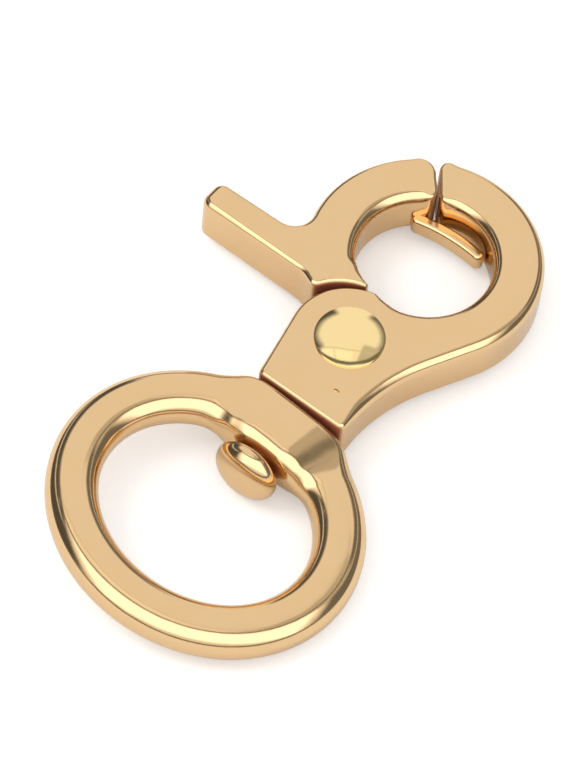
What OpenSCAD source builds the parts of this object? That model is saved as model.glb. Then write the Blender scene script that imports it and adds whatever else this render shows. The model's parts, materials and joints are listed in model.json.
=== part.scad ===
// Swivel snap hook, cast and polished brass, all sizes in millimetres.
// The hook lies flat: +Z is up through its thickness and +Y runs along the swivel axis,
// from the ring towards the eye. Each piece is drawn with the rivet's axis at the origin,
// halfway through the thickness, and place() then stands the whole on its lower rivet head.

/* [Eye and arm] */
// Thickness of the cast body and gate
body_t = 6; // [5:0.1:8]
// Radius of the opening inside the closed eye
eye_r = 7.2; // [6:0.1:8.4]
// Width of the arm and of the gate's jaw, seen from above
arm_w = 5.3; // [4.4:0.1:6]
// How far the body's round shoulder bites into the eye's circle
eye_bite = 0.2; // [0.1:0.05:0.6]
// Where the jaw meets the arm, as an angle round the eye
tip_angle = 119; // [105:1:125]
// Gap between the two closed tips
tip_gap = 0.25; // [0.15:0.05:0.5]
// Rounding of the long edges
edge_r = 0.7; // [0.3:0.05:0.9]

/* [Body] */
// Radius of the body's round shoulder about the rivet
hub_r = 6.3; // [5.9:0.05:6.8]
// Width of the body's straight lower end
base_w = 10.8; // [9.5:0.1:12]
// Distance from the rivet's axis to the straight lower end
base_y = 9.3; // [8.8:0.1:13]
// Slope of the flank between the arm and the lower end
flank_angle = 27; // [22:1:30]
// Radius of the hollow in the flank
flank_r = 20; // [14:1:24]
// Clearance above and below the tongue and the spring in the slot
side_gap = 0.1; // [0.05:0.01:0.15]

/* [Gate] */
// How far the jaw opens, in degrees
gate_travel = 32; // [20:1:32]
// Distance from the rivet's axis to the end of the thumb lever
lever_reach = 22.4; // [18:0.1:28]
// Width of the thumb lever
lever_w = 3.6; // [3:0.1:4]
// Height of the lever's upper edge above the rivet's axis
lever_top = 7.1; // [6.8:0.1:7.4]
// Radius of the hollow between lever and jaw
lever_fillet = 2.2; // [1.2:0.1:3.5]
// Thickness of the tongue in the slot
tongue_t = 1.6; // [1.3:0.1:1.9]
// Gap between the gate's heel and the body's shoulder
heel_gap = 0.25; // [0.15:0.05:0.35]
// How much wider that gap is at the lever's end
heel_flare = 0.75; // [0:0.05:1]
// Width of the lip that runs inside the arm
lip_w = 1.3; // [0.9:0.1:1.6]
// Height of that lip
lip_h = 2.3; // [1.6:0.1:2.8]

/* [Rivet and spring] */
// Diameter of the rivet's shank
rivet_d = 3.2; // [2.6:0.1:3.6]
// Diameter of each domed rivet head
head_d = 7.4; // [6:0.1:8.4]
// Height of each domed rivet head
head_h = 0.85; // [0.5:0.05:1.2]
// Running clearance on the radius of each pin
pin_gap = 0.06; // [0.03:0.01:0.1]
// Diameter of the spring wire
wire_d = 0.4; // [0.3:0.05:0.5]
// Turns of the gate spring
spring_turns = 2; // [1:1:2]

/* [Swivel] */
// Sideways offset of the swivel axis from the rivet
swivel_x = 0.75; // [0:0.05:1.2]
// Gap between the body's lower end and the ring's boss
boss_gap = 0.35; // [0.2:0.05:0.6]
// Diameter of the swivel stud's shank
stud_d = 3; // [2.4:0.1:3.4]
// Diameter of the stud's button head
button_d = 7.2; // [5.4:0.1:7.4]
// Length of the stud's button head
button_l = 3.2; // [3:0.1:4.5]
// Gap between the button head and the ring's boss
button_gap = 0.3; // [0.15:0.05:0.6]

/* [Ring] */
// Width of the oval inside the ring's bar
ring_in_w = 23; // [19:0.5:26]
// Length of that oval, before the boss's flat wall cuts into it
ring_in_l = 19.5; // [17:0.5:24]
// Width of the ring's bar, seen from above
bar_w = 5.4; // [4:0.1:5.8]
// Height of the ring's bar
bar_h = 4.4; // [4:0.1:5.4]
// Half the width of the boss's straight edge
boss_half = 5.6; // [5:0.1:7]
// How far that straight edge cuts into the ring's outer oval
boss_cut = 0.4; // [0.1:0.05:0.45]
// How far the boss's flat wall stands inside the inner oval
boss_in = 1.5; // [0.6:0.1:2]
// Length of the slope from the boss's top down to the bar
boss_slope = 5.5; // [4:0.1:8]

/* [Hidden] */
$fn = 64;
BRASS = [0.90, 0.76, 0.56];
RIVET_BRASS = [0.93, 0.82, 0.48];
STEEL = [0.62, 0.63, 0.66];

// Eye and tips
eye_y = hub_r + eye_r - eye_bite;
eye_c = [-0.25, eye_y];
outer_r = eye_r + arm_w;
tip_half = tip_gap / 2 / (eye_r + arm_w / 2) * 180 / PI;
arm_end = tip_angle - tip_half;
jaw_end = tip_angle + tip_half;
tip_r = 1.2;
jaw_tip_r = 1.9;
tip_edge = 0.5;

// Body
base_left = swivel_x - base_w / 2;
base_right = swivel_x + base_w / 2;
base_corner = 0.7;
base_edge = 0.5;
notch_edge = 0.3;
wedge = 6;
shoulder_edge = 0.6;
disc_r = 4.6;
slot_gap = 0.3;
slot_r = disc_r + slot_gap;
slot_from = 97;
neck_from = 108;
neck_to = 156;
slot_to = neck_to + gate_travel + 1;
slot_reach = hub_r + 8;

// Gate
heel_from = 106;
heel_to = 159;
heel_corner = 0.9;
heel_edge = 0.7;
lever_low = lever_top - lever_w;
lever_tip_r = 1.2;
coil_pitch = wire_d + 0.03;
slot_h = tongue_t + wire_d + spring_turns * coil_pitch + 3 * side_gap;
tongue_z = -slot_h / 2 + side_gap;
lip_z = -body_t / 2 + 0.5;
lip_gap = 0.4;
lip_end_gap = 0.15;
tip_turn = asin(tip_r / (eye_r + tip_r));
lip_r = norm(eye_c + (eye_r + tip_r) * [cos(arm_end - tip_turn), sin(arm_end - tip_turn)]) - tip_r - lip_gap;
lip_root = 128;

// Rivet and spring
bore_d = rivet_d + 2 * pin_gap;
coil_r = (disc_r + rivet_d / 2) / 2;
coil_z = tongue_z + tongue_t + side_gap + wire_d / 2;
coil_from = 128;
leg_l = 2.2;

// Swivel
bore_gap = pin_gap;
boss_l = bar_w + boss_in - boss_cut;
boss_top = -base_y - boss_gap;
boss_low = boss_top - boss_l;
button_top = boss_low - button_gap;
stud_depth = base_y - slot_r - 0.8;
button_r = 1.5;

// Ring: two ovals about one centre. By the body the outer one gives way to the boss's straight
// edge and to the lines from its ends that touch the oval, and the inner one to the flat wall.
ring_half_w = ring_in_w / 2 + bar_w;
ring_half_l = ring_in_l / 2 + bar_w;
ring_c = [swivel_x, boss_low + boss_in - ring_in_l / 2];
bar_edge = 1.6;
boss_edge = 0.8;
wall_edge = 0.4;
bore_edge = 1.8;
crown_half = 2.5;
edge_blend = 3.5;
shoulder_r = 1.2;
edge_y = boss_top - ring_c.y;
edge_end = [boss_half / ring_half_w, edge_y / ring_half_l];
touch_angle = atan2(edge_end.x, edge_end.y) + acos(1 / norm(edge_end));
touch_x = ring_half_w * sin(touch_angle);
shoulder_slope = (edge_y - ring_half_l * cos(touch_angle)) / (touch_x - boss_half);

// Rest: the hook stands on its lower rivet head, and the ring, which turns freely, leans until
// its side away from the lever is this far above the same surface
rest_z = body_t / 2 + head_h;
rest_gap = 0.05;
ring_lean = asin((rest_z - bar_h / 2 - rest_gap) / (ring_half_w - bar_edge));
ring_side = (ring_half_w - bar_edge) * cos(ring_lean) + (bar_h / 2 - bar_edge) * sin(ring_lean) + bar_edge;

// Middle of the outline, seen from above
mid_x = (swivel_x + ring_side - lever_reach) / 2;
mid_y = (eye_y + outer_r + ring_c.y - ring_half_l) / 2;

// Points and blends
function polar(c, r, a) = c + r * [cos(a), sin(a)];
function arc(c, r, from, to, n) = [for (i = [0:n]) polar(c, r, from + (to - from) * i / n)];
function unit(v) = v / norm(v);
function blend(t) = let (s = min(1, max(0, t))) s * s * (3 - 2 * s);

// Outline points with a share of the plate's edge rounding as their third value
function edged(points, share) = [for (q = points) [q.x, q.y, share]];

// Outward normal of a counter-clockwise outline at its point i, made longer at corners
function outward(p, i) =
    let (n = len(p),
         a = unit(p[i] - p[(i + n - 1) % n]),
         b = unit(p[(i + 1) % n] - p[i]),
         m = unit([a.y + b.y, -a.x - b.x]))
    m / max(0.75, m * [a.y, -a.x]);

// A rounded corner at p between the points before and after it
function corner(before, p, after, r, n) =
    let (u = unit(before - p),
         v = unit(after - p),
         half = acos(u * v) / 2,
         c = p + unit(u + v) * r / sin(half),
         s = p + u * r / tan(half) - c,
         e = p + v * r / tan(half) - c,
         from = atan2(s.y, s.x),
         turn = atan2(s.x * e.y - s.y * e.x, s * e))
    arc(c, r, from, from + turn, n);

// Triangles that fill the flat outline p: the points q, with one ear clipped off at a time
function side_of(a, b, t) = (b.x - a.x) * (t.y - a.y) - (b.y - a.y) * (t.x - a.x);
function inside(t, a, b, c) = side_of(a, b, t) >= 0 && side_of(b, c, t) >= 0 && side_of(c, a, t) >= 0;
function is_ear(p, q, i) =
    let (n = len(q), a = p[q[(i + n - 1) % n]], b = p[q[i]], c = p[q[(i + 1) % n]])
    side_of(a, b, c) > 0 &&
    len([for (k = q) let (t = p[k]) if (t != a && t != b && t != c && inside(t, a, b, c)) k]) == 0;
function first_ear(p, q, i) = i > len(q) - 2 || is_ear(p, q, i) ? i : first_ear(p, q, i + 1);
function ears(p, q) =
    len(q) == 3 ? [q] :
    let (n = len(q), i = first_ear(p, q, 0))
    concat([[q[(i + n - 1) % n], q[i], q[(i + 1) % n]]], ears(p, [for (k = q) if (k != q[i]) k]));

// Closed skin through a list of rings that have equal numbers of points. The caps are the
// end rings, filled by the given triangles.
module skin(rings, filling) {
    n = len(rings[0]);
    last = len(rings) - 1;
    sides = [for (j = [0:last - 1], i = [0:n - 1])
        let (k = (i + 1) % n, a = j * n, b = (j + 1) * n)
        each [[a + i, b + i, b + k], [a + i, b + k, a + k]]];
    caps = [for (t = filling) each [t, [last * n + t[2], last * n + t[1], last * n + t[0]]]];
    polyhedron([for (ring = rings) each ring], concat(caps, sides));
}

// Plate of height t with the given edged outline, its long edges rounded by up to r
module rounded_plate(outline, t, r) {
    steps = 3;
    flat = [for (q = outline) [q.x, q.y]];
    below = [for (k = [0:steps]) [1 - sin(90 * k / steps), 1 - cos(90 * k / steps), -1]];
    above = [for (k = [steps:-1:0]) [below[k][0], below[k][1], 1]];
    skin([for (l = concat(below, above))
        [for (i = [0:len(flat) - 1])
            let (e = r * outline[i].z, q = flat[i] - e * l[0] * outward(flat, i))
            [q.x, q.y, l[2] * (t / 2 - e * l[1])]]],
        ears(flat, [for (i = [0:len(flat) - 1]) i]));
}

// Flank of the body: a hollow arc from the lower end, then a straight run onto the arm
function flank() =
    let (t = polar(eye_c, outer_r, -flank_angle),
         c = [base_right + flank_r,
              t.y + (cos(flank_angle) * (base_right + flank_r - t.x) - flank_r) / sin(flank_angle)])
    arc(c, flank_r, 180, 180 - flank_angle, 8);

// Left side of the body: a straight line from the lower corner, tangent to the shoulder
function shoulder_end() =
    let (p = [base_left, -base_y])
    360 + atan2(p.y, p.x) - acos(hub_r / norm(p));

// Directions from the rivet in which a circle of radius r about it crosses one of radius e
// about the eye's middle: side is 1 on the lever's side and -1 on the arm's
function crossing(r, e, side) =
    let (d = norm(eye_c))
    atan2(eye_c.y, eye_c.x) + side * acos((r * r - e * e + d * d) / (2 * d * r));
function notch_angle(r) = crossing(r, eye_r, 1);

// Corner of radius t on a tip, about the point at radius r and angle a of the eye
function tip_corner(t, r, a, from, to) = arc(polar(eye_c, r, a), t, from, to, 3);

function body_outline() =
    let (notch = notch_angle(hub_r),
         n = polar([0, 0], hub_r, notch) - eye_c,
         low_left = [base_left, -base_y],
         low_right = [base_right, -base_y],
         out_turn = asin(tip_r / (outer_r - tip_r)),
         in_turn = asin(tip_r / (eye_r + tip_r)))
    concat(
        edged(corner(polar([0, 0], hub_r, shoulder_end()), low_left, low_right, base_corner, 3), base_edge),
        edged(corner(low_left, low_right, [base_right, 0], base_corner, 3), base_edge),
        edged(flank(), 1),
        edged(arc(eye_c, outer_r, -flank_angle, 90, 26), 1),
        edged(arc(eye_c, outer_r, 94, arm_end - out_turn - 2, 4), 1),
        edged(tip_corner(tip_r, outer_r - tip_r, arm_end - out_turn, arm_end - out_turn, arm_end + 90),
              tip_edge),
        edged(tip_corner(tip_r, eye_r + tip_r, arm_end - in_turn, arm_end + 90, arm_end + 180 - in_turn),
              tip_edge),
        edged(arc(eye_c, eye_r, arm_end - in_turn - 4, atan2(n.y, n.x) + wedge, 32), 1),
        edged(arc([0, 0], hub_r, notch, notch + wedge, 1), notch_edge),
        edged(arc([0, 0], hub_r, notch + 2 * wedge, shoulder_end(), 9), shoulder_edge));

module hook_body() {
    color(BRASS)
    difference() {
        rounded_plate(body_outline(), body_t, edge_r);
        slot();
        cylinder(d = bore_d, h = body_t + 1, center = true);
        translate([swivel_x, -base_y - 1, 0])
            rotate([-90, 0, 0])
                cylinder(d = stud_d, h = stud_depth + 1);
    }
}

// Slot between the cheeks: round about the rivet and open towards the lever
module slot() {
    mid = (slot_from + slot_to) / 2;
    linear_extrude(slot_h, center = true) {
        circle(slot_r);
        polygon([
            [0, 0],
            polar([0, 0], slot_reach, slot_from),
            polar([0, 0], slot_reach * 1.4, mid),
            polar([0, 0], slot_reach, slot_to)]);
    }
}

// Heel of the gate: follows the shoulder, further from it towards the lever
function heel() =
    [for (i = [0:8])
        let (s = i / 8)
        polar([0, 0], hub_r + heel_gap + heel_flare * s, heel_from + (heel_to - heel_from) * s)];

function gate_outline() =
    let (r = hub_r + heel_gap,
         inner = notch_angle(r) + 2,
         c = polar([0, 0], r, inner) - eye_c,
         h = heel(),
         hollow_y = lever_top + lever_fillet,
         hollow_c = [eye_c.x - sqrt(pow(outer_r + lever_fillet, 2) - pow(hollow_y - eye_y, 2)), hollow_y],
         onto = atan2(eye_y - hollow_c.y, eye_c.x - hollow_c.x),
         out_turn = asin(jaw_tip_r / (outer_r - jaw_tip_r)),
         in_turn = asin(tip_r / (eye_r + tip_r)),
         low_left = [-lever_reach, lever_low],
         top_left = [-lever_reach, lever_top],
         heel_low = polar([0, 0], hub_r + heel_gap + heel_flare, heel_to))
    concat(
        edged([polar(eye_c, eye_r, atan2(c.y, c.x) + 360 - 4)], notch_edge),
        edged([polar(eye_c, eye_r, atan2(c.y, c.x) + 360 - 12)], 2 * notch_edge),
        edged(arc(eye_c, eye_r, atan2(c.y, c.x) + 360 - 20, jaw_end + in_turn + 4, 16), 1),
        edged(tip_corner(tip_r, eye_r + tip_r, jaw_end + in_turn, jaw_end + in_turn + 180, jaw_end + 270),
              tip_edge),
        edged(tip_corner(jaw_tip_r, outer_r - jaw_tip_r, jaw_end + out_turn, jaw_end + 270,
                         jaw_end + out_turn + 360), tip_edge),
        edged(arc(eye_c, outer_r, jaw_end + out_turn + 4, 176 + onto, 16), 1),
        edged(arc(hollow_c, lever_fillet, onto, -90, 6), 1),
        edged(corner([0, lever_top], top_left, low_left, lever_tip_r, 3), 1),
        edged(corner(top_left, low_left, [0, lever_low], lever_tip_r, 3), 1),
        edged(corner(low_left, [heel_low.x - 2, lever_low], heel_low, 3, 2), 1),
        edged(corner([heel_low.x - 2, lever_low], heel_low, h[6], heel_corner, 3), heel_edge),
        edged([for (i = [6:-1:2]) h[i]], heel_edge),
        edged([h[1]], notch_edge));

module trigger_gate() {
    color(BRASS)
    difference() {
        union() {
            rounded_plate(gate_outline(), body_t, edge_r);
            tongue();
            lip();
        }
        cylinder(d = bore_d, h = body_t, center = true);
    }
}

// Tongue of the gate: a disc on the rivet and the neck that carries the heel
module tongue() {
    mid = (neck_from + neck_to) / 2;
    reach = hub_r + heel_gap + heel_flare + 0.9;
    translate([0, 0, tongue_z])
        linear_extrude(tongue_t) {
            circle(disc_r);
            polygon([
                [0, 0],
                polar([0, 0], reach, neck_from + 4),
                polar([0, 0], reach * 1.12, mid),
                polar([0, 0], reach, neck_to)]);
        }
}

// Lip of the gate: a curved finger along the inside of the arm, round at its end
module lip() {
    mid_r = lip_r - lip_w / 2;
    end = crossing(mid_r, eye_r - lip_w / 2 - lip_end_gap, -1);
    root = atan2(eye_c.y + (eye_r + 0.5) * sin(lip_root), eye_c.x + (eye_r + 0.5) * cos(lip_root));
    translate([0, 0, lip_z]) {
        rotate([0, 0, end])
            rotate_extrude(angle = root - end)
                translate([mid_r - lip_w / 2, 0])
                    square([lip_w, lip_h]);
        translate(polar([0, 0], mid_r, end))
            cylinder(d = lip_w, h = lip_h, $fn = 32);
    }
}

module pivot_rivet() {
    color(RIVET_BRASS)
    union() {
        cylinder(d = rivet_d, h = body_t, center = true);
        translate([0, 0, body_t / 2]) rivet_head();
        mirror([0, 0, 1]) translate([0, 0, body_t / 2]) rivet_head();
    }
}

// Low dome with a short upright rim
module rivet_head() {
    rim = 0.2;
    rise = head_h - rim;
    ball_r = (head_d * head_d / 4 + rise * rise) / (2 * rise);
    rotate_extrude()
        intersection() {
            square([head_d / 2, head_h]);
            union() {
                square([head_d / 2, rim]);
                translate([0, head_h - ball_r]) circle(ball_r, $fn = 256);
            }
        }
}

// Torsion spring round the rivet: one leg on the slot's wall, one on the gate's neck
module gate_spring() {
    steps = 16 * spring_turns;
    last = coil_from + 360 * spring_turns;
    start = polar([0, 0], coil_r, coil_from);
    stop = polar([0, 0], coil_r, last);
    lead_in = start - leg_l * [-sin(coil_from), cos(coil_from)];
    lead_out = stop + leg_l * [-sin(last), cos(last)];
    coil = [for (i = [0:steps])
        let (q = polar([0, 0], coil_r, coil_from + 360 * spring_turns * i / steps))
        [q.x, q.y, coil_z + coil_pitch * spring_turns * i / steps]];
    path = concat([[lead_in.x, lead_in.y, coil[0].z]], coil, [[lead_out.x, lead_out.y, coil[steps].z]]);
    color(STEEL) wire(path, wire_d);
}

// Round wire along a path that stays close to level
module wire(path, d) {
    sides = 8;
    last = len(path) - 1;
    skin([for (i = [0:last])
        let (t = unit(path[min(last, i + 1)] - path[max(0, i - 1)]),
             u = unit([t.y, -t.x, 0]),
             v = cross(u, t))
        [for (k = [0:sides - 1]) path[i] + d / 2 * (cos(360 * k / sides) * u - sin(360 * k / sides) * v)]],
        [for (k = [1:sides - 2]) [0, k, k + 1]]);
}

// Stud: a button head, the shank through the boss, and its end pressed into the body
module swivel_stud() {
    head = button_l;
    r = button_d / 2;
    color(BRASS)
    translate([swivel_x, button_top - head, 0])
        rotate([-90, 0, 0]) {
            rotate_extrude()
                button_half(r, head);
            cylinder(d = stud_d, h = head - button_top - base_y + stud_depth);
        }
}

// Half section of the button head, with round edges front and back
module button_half(r, head) {
    union() {
        square([r - button_r, head]);
        translate([0, button_r]) square([r, head - 2 * button_r]);
        translate([r - button_r, button_r]) circle(button_r);
        translate([r - button_r, head - button_r]) circle(button_r);
    }
}

// Boss's outer edge at a distance x from the swivel axis: straight, bent over a length of twice
// shoulder_r, then sloping down to where it touches the oval
function boss_line(x) =
    let (s = max(0, x - boss_half + shoulder_r))
    edge_y - shoulder_slope * (s < 2 * shoulder_r ? s * s / (4 * shoulder_r) : s - shoulder_r);

// Section of the ring at angle a from the swivel axis: a rounded box between its two outlines.
// The crown share raises its top to the body's, and the near share gives it the boss's edges.
function ring_section(a) =
    let (side = [sin(a), cos(a)],
         oval_in = [side.x * ring_in_w / 2, side.y * ring_in_l / 2],
         oval_out = [side.x * ring_half_w, side.y * ring_half_l],
         x = side.y > 0 ? abs(oval_out.x) : ring_half_w,
         i = [oval_in.x, min(oval_in.y, boss_low - ring_c.y)],
         o = [oval_out.x, x < touch_x ? boss_line(x) : oval_out.y],
         u = unit(o - i),
         w = norm(o - i),
         crown = 1 - blend((x - crown_half) / boss_slope),
         near = 1 - blend((x - boss_half) / edge_blend),
         h = (bar_h + crown * (body_t - bar_h)) / 2,
         r = bar_edge + near * (boss_edge - bar_edge),
         in_x = bar_edge + near * (wall_edge - bar_edge) + oval_in.y - i.y,
         in_z = bar_edge + crown * (bore_edge - bar_edge),
         flat = concat(
             arc([w - r, h - r], r, 90, 0, 4),
             arc([w - r, r - h], r, 0, -90, 4),
             [for (q = arc([0, 0], 1, -90, -180, 4)) [in_x * (1 + q.x), in_z * (1 + q.y) - h]],
             [for (q = arc([0, 0], 1, 180, 90, 4)) [in_x * (1 + q.x), h + in_z * (q.y - 1)]]))
    [for (q = flat) [ring_c.x + i.x + u.x * q.x, ring_c.y + i.y + u.y * q.x, q.y]];

module swivel_ring() {
    steps = 96;
    sections = [for (k = [0:steps - 1]) ring_section(360 * k / steps)];
    n = len(sections[0]);
    color(BRASS)
    difference() {
        polyhedron([for (s = sections) each s],
            [for (k = [0:steps - 1], i = [0:n - 1])
                let (a = k * n, b = ((k + 1) % steps) * n, j = (i + 1) % n)
                each [[a + i, b + j, b + i], [a + i, a + j, b + j]]]);
        translate([swivel_x, boss_top + 1, 0])
            rotate([90, 0, 0])
                cylinder(d = stud_d + 2 * bore_gap, h = boss_l + 2);
    }
}

// Turn about the swivel axis that brings the ring to rest
module lean() {
    translate([swivel_x, 0, 0])
        rotate([0, ring_lean, 0])
            translate([-swivel_x, 0, 0])
                children();
}

module place() {
    translate([-mid_x, -mid_y, rest_z]) children();
}

place() hook_body();
place() trigger_gate();
place() pivot_rivet();
place() gate_spring();
place() swivel_stud();
place() lean() swivel_ring();
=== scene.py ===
"""Swivel snap hook in polished cast brass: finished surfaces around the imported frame.

Shapes are worked out in millimetres about the rivet's axis, halfway through the thickness, and
put into the row frame by placed(). +Z is up, and +Y runs along the swivel axis towards the eye.
"""

import json
import math

import bmesh
import bpy
import numpy as np
from mathutils import Matrix, Vector


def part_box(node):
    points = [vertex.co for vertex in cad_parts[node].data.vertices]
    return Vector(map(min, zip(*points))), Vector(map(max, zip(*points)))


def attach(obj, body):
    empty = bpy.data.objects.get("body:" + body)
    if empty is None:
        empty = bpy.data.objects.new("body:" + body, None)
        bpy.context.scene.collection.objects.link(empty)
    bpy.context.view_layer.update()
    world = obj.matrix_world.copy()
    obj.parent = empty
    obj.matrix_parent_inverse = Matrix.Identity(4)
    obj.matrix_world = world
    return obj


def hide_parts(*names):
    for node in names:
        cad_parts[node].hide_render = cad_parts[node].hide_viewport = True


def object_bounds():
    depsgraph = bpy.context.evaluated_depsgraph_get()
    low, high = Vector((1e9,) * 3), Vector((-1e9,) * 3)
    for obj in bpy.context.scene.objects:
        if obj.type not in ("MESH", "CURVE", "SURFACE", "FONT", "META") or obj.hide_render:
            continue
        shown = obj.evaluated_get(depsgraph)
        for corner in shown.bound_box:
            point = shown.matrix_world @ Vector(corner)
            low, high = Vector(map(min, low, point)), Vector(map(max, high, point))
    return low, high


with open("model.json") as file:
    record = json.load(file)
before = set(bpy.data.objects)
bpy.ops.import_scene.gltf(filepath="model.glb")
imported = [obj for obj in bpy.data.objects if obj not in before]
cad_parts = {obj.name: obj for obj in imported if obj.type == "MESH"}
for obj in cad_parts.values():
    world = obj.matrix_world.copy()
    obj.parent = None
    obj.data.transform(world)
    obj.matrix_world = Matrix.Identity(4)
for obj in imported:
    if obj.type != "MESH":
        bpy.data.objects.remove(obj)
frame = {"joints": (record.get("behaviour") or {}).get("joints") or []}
cad_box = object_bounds()
joints = {joint["name"]: joint for joint in frame["joints"]}

# Places that come from the frame
MM = 0.001
PIVOT = np.array(joints["gate_pivot"]["pos_m"]) / MM
SWIVEL_X = joints["ring_swivel"]["pos_m"][0] / MM - PIVOT[0]
BODY_T = (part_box("hook_body")[1].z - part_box("hook_body")[0].z) / MM
HEAD_H = PIVOT[2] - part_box("pivot_rivet")[0].z / MM - BODY_T / 2

# Eye, arm and tips
EYE_R = 7.2
ARM_W = 5.3
HUB_R = 6.3
EYE_BITE = 0.2
EYE_C = np.array([-0.25, HUB_R + EYE_R - EYE_BITE])
OUTER_R = EYE_R + ARM_W
TIP_ANGLE = 119.0
TIP_GAP = 0.25
TIP_HALF = math.degrees(TIP_GAP / 2 / (EYE_R + ARM_W / 2))
ARM_END = TIP_ANGLE - TIP_HALF
JAW_END = TIP_ANGLE + TIP_HALF

# Degrees by which the tips' end faces lean away from the middle, at the eye and at the outside
TIP_SKEW_IN = -1.8
TIP_SKEW_OUT = 1.0
TIP_R = 1.2
JAW_TIP_R = 1.9

# Width of the edge rounding, and the share of it along each stretch of an outline
EDGE_R = 0.7
ARM_EDGE = 1.6
EYE_EDGE = 1.7
JAW_EDGE = 2.0
TIP_EDGE = 0.6

# Body
BASE_W = 10.8
BASE_Y = 9.3
BASE_LEFT = SWIVEL_X - BASE_W / 2
BASE_RIGHT = SWIVEL_X + BASE_W / 2
BASE_CORNER = 0.7
BASE_EDGE = 0.8
NOTCH_EDGE = 0.3
SHOULDER_EDGE = 0.6
WEDGE = 6.0
FLANK_ANGLE = 27.0
FLANK_R = 20.0

# Casting nick in the upper face
NICK_AT = [2.9, -5.95, BODY_T / 2]
NICK_SIZE = [0.34, 0.18, 0.30]

# Slot and tongue
TONGUE_T = 1.6
SIDE_GAP = 0.1
WIRE_D = 0.4
SPRING_TURNS = 2
COIL_PITCH = WIRE_D + 0.03
SLOT_H = TONGUE_T + WIRE_D + SPRING_TURNS * COIL_PITCH + 3 * SIDE_GAP
TONGUE_Z = -SLOT_H / 2 + SIDE_GAP
DISC_R = 4.6
SLOT_R = DISC_R + 0.3
NECK_FROM = 108.0
NECK_TO = 156.0
GATE_TRAVEL = 32.0
SLOT_FROM = 97.0
SLOT_TO = NECK_TO + GATE_TRAVEL + 1
SLOT_REACH = HUB_R + 8
SLOT_BULGE = 1.4
NECK_LEAD = 4.0
NECK_REACH = 0.9
NECK_BULGE = 1.12

# Gate. JAW_ROOT gives the degrees from its inner corner over which the jaw's edge widens. HEEL_SPLITS
# gives the steps along the heel, counted from the jaw, where the full edge starts by the lever, where
# it narrows, and where the heel ends.
JAW_ROOT = (4, 12, 20, 30)
LEVER_REACH = 22.4
LEVER_W = 3.6
LEVER_TOP = 7.1
LEVER_LOW = LEVER_TOP - LEVER_W
LEVER_FILLET = 2.2
LEVER_TIP_R = 1.2
LEVER_EDGE = 1.3
HEEL_GAP = 0.25
HEEL_FLARE = 0.75
HEEL_FROM = 106.0
HEEL_TO = 159.0
HEEL_CORNER = 1.0
HEEL_EDGE = 0.9
HEEL_STEPS = 32
HEEL_SPLITS = (24, 6, 3)
KNEE_BACK = 2.0
KNEE_R = 3.0
LIP_W = 1.3
LIP_H = 2.3
LIP_Z = -BODY_T / 2 + 0.5
LIP_GAP = 0.4
LIP_EDGE = 0.45
LIP_END_GAP = 0.15
LIP_ROOT = 128.0
LIP_ROOT_IN = 0.5

# Rivet and spring
RIVET_D = 3.2
PIN_GAP = 0.06
HEAD_D = 7.4
HEAD_RIM = 0.2
HEAD_CORNER = 0.08
DOME_END = 0.05
DOME_POWER = 2.4
COIL_R = (DISC_R + RIVET_D / 2) / 2
COIL_Z = TONGUE_Z + TONGUE_T + SIDE_GAP + WIRE_D / 2
COIL_FROM = 128.0
LEG_L = 2.2

# Swivel stud
BAR_W = 5.4
BOSS_IN = 1.5
BOSS_CUT = 0.4
BOSS_GAP = 0.35
BOSS_L = BAR_W + BOSS_IN - BOSS_CUT
BOSS_TOP = -BASE_Y - BOSS_GAP
BOSS_LOW = BOSS_TOP - BOSS_L
STUD_D = 3.0
STUD_DEPTH = BASE_Y - SLOT_R - 0.8
BUTTON_D = 7.2
BUTTON_L = 3.2
BUTTON_FRONT = 1.9
BUTTON_SHAPE = 2.2
BUTTON_TOP = BOSS_LOW - 0.3

# Ring
RING_IN_W = 23.0
RING_IN_L = 19.5
BAR_H = 4.4
BAR_EDGE = 2.0
REST_EDGE = 1.6
BOSS_EDGE = 0.8
WALL_EDGE = 0.4
BORE_EDGE = 1.8
BOSS_HALF = 5.6
BOSS_SLOPE = 5.5
CROWN_HALF = 2.5
EDGE_BLEND = 3.5
SHOULDER_R = 1.2
WALL_BLEND = 0.6
RING_C = np.array([SWIVEL_X, BOSS_LOW + BOSS_IN - RING_IN_L / 2])
RING_HALF_W = RING_IN_W / 2 + BAR_W
RING_HALF_L = RING_IN_L / 2 + BAR_W
REST_GAP = 0.05
RING_LEAN = math.asin((BODY_T / 2 + HEAD_H - BAR_H / 2 - REST_GAP) / (RING_HALF_W - REST_EDGE))

# Gaps that polishing doesn't reach, painted darker as tarnish and as painted shade: the depth over which
# they darken, how dark the painted shade on a tip's end face is, how far beside a wall or the slot's roof
# its mask still counts, the degrees that the heel's mask runs on past it, and the direction from the
# rivet past which a point can belong to the heel
CREVICE_FADE = 0.4
TIP_DARK = 0.6
NEAR = 0.1
TOUCH = 0.01
HEEL_MARGIN = 4.0
GATE_SIDE = 80.0

# Fineness of the surfaces
OUTLINE_STEP = 0.22
EDGE_STEPS = 8
SHARP_ANGLE = math.radians(32)
FLAT_WEIGHT = 90
SAME_POINT = 0.02
SHARE_SAMPLES = 1200
SHARE_WINDOW = 31
MITRE_LIMIT = 0.75

# Polish marks: scales in cells a metre, depth of the bump in metres, and the shares of each effect;
# GAP_DULL and GAP_METAL dull the gaps painted with tarnish and shade
DRAG_SCALE = 2600.0
DRAG_STRETCH = (1, 0.09, 1)
DRAG_TURN = (0.3, 0.2, 0.7)
DRAG_SHARE = 0.6
CLOUD_SCALE = 190.0
CLOUD_SHADE = 0.3
WAVE_SCALE = 430.0
PIT_SCALE = 780.0
PIT_FLOOR = 0.035
PIT_RIM = 0.075
PIT_DEPTH = 2.0
PIT_DULL = 0.2
PIT_SHADE = 0.7
GAP_DULL = 0.4
GAP_METAL = 0.8
BUMP_DEPTH = 0.00002

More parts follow.
